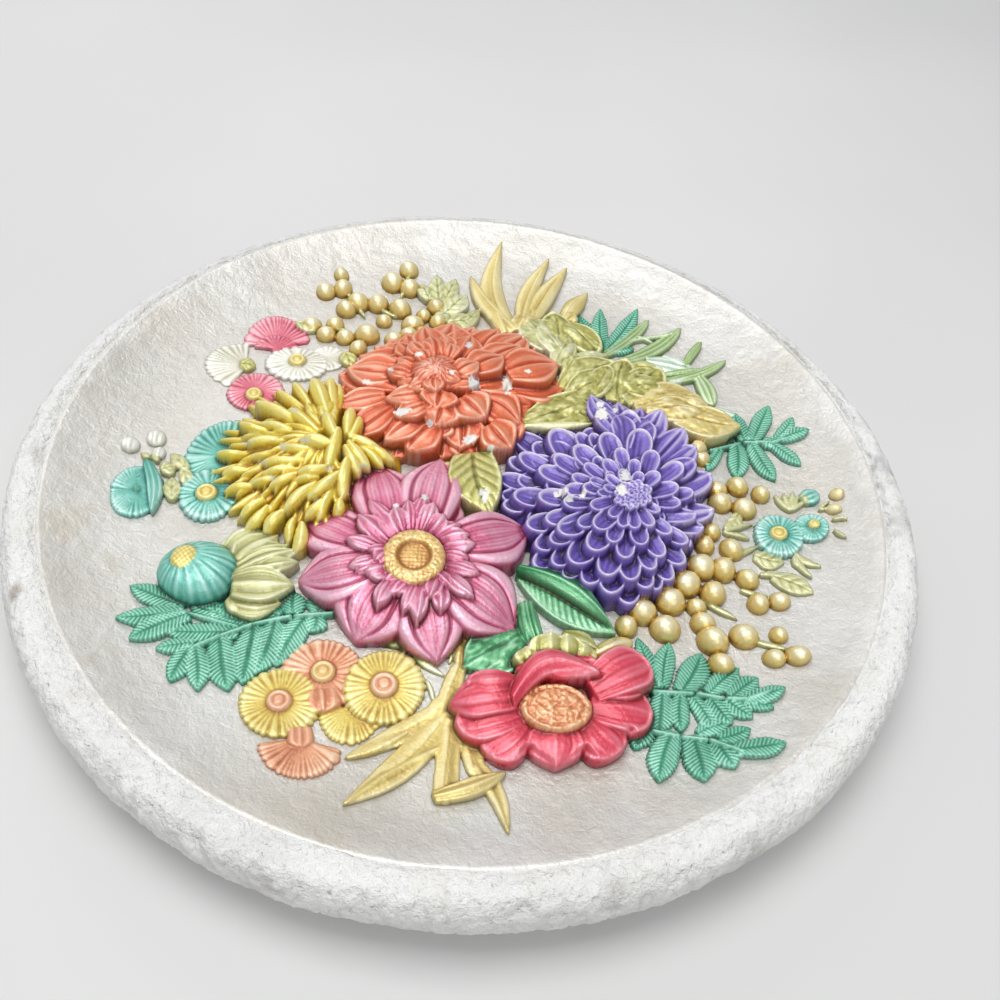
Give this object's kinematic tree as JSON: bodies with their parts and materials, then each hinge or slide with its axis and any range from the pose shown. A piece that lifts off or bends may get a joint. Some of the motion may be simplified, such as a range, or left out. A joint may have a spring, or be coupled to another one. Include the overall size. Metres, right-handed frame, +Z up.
{
  "type": "decorative wall plaque",
  "caption": "Round cast plaster wall plaque: a shallow dish with a broad rolled rim and a high-relief bouquet of painted flowers, leaves and berries.",
  "frame": {"origin": "centre of the flat back face, on the wall plane", "axes": "+X to the right seen from the front, +Y into the wall, +Z up the wall; the front with the bouquet faces -Y"},
  "size_m": [0.3795, 0.0357, 0.38],
  "materials": {
    "painted_plaster": "cast plaster under thin pearly paint: cream dish, chalk-white rough rim, coloured flowers; satin sheen, dry-brushed edges, a few bare white chips"
  },
  "bodies": {
    "root": {"plaque": "painted_plaster"}
  },
  "joints": []
}
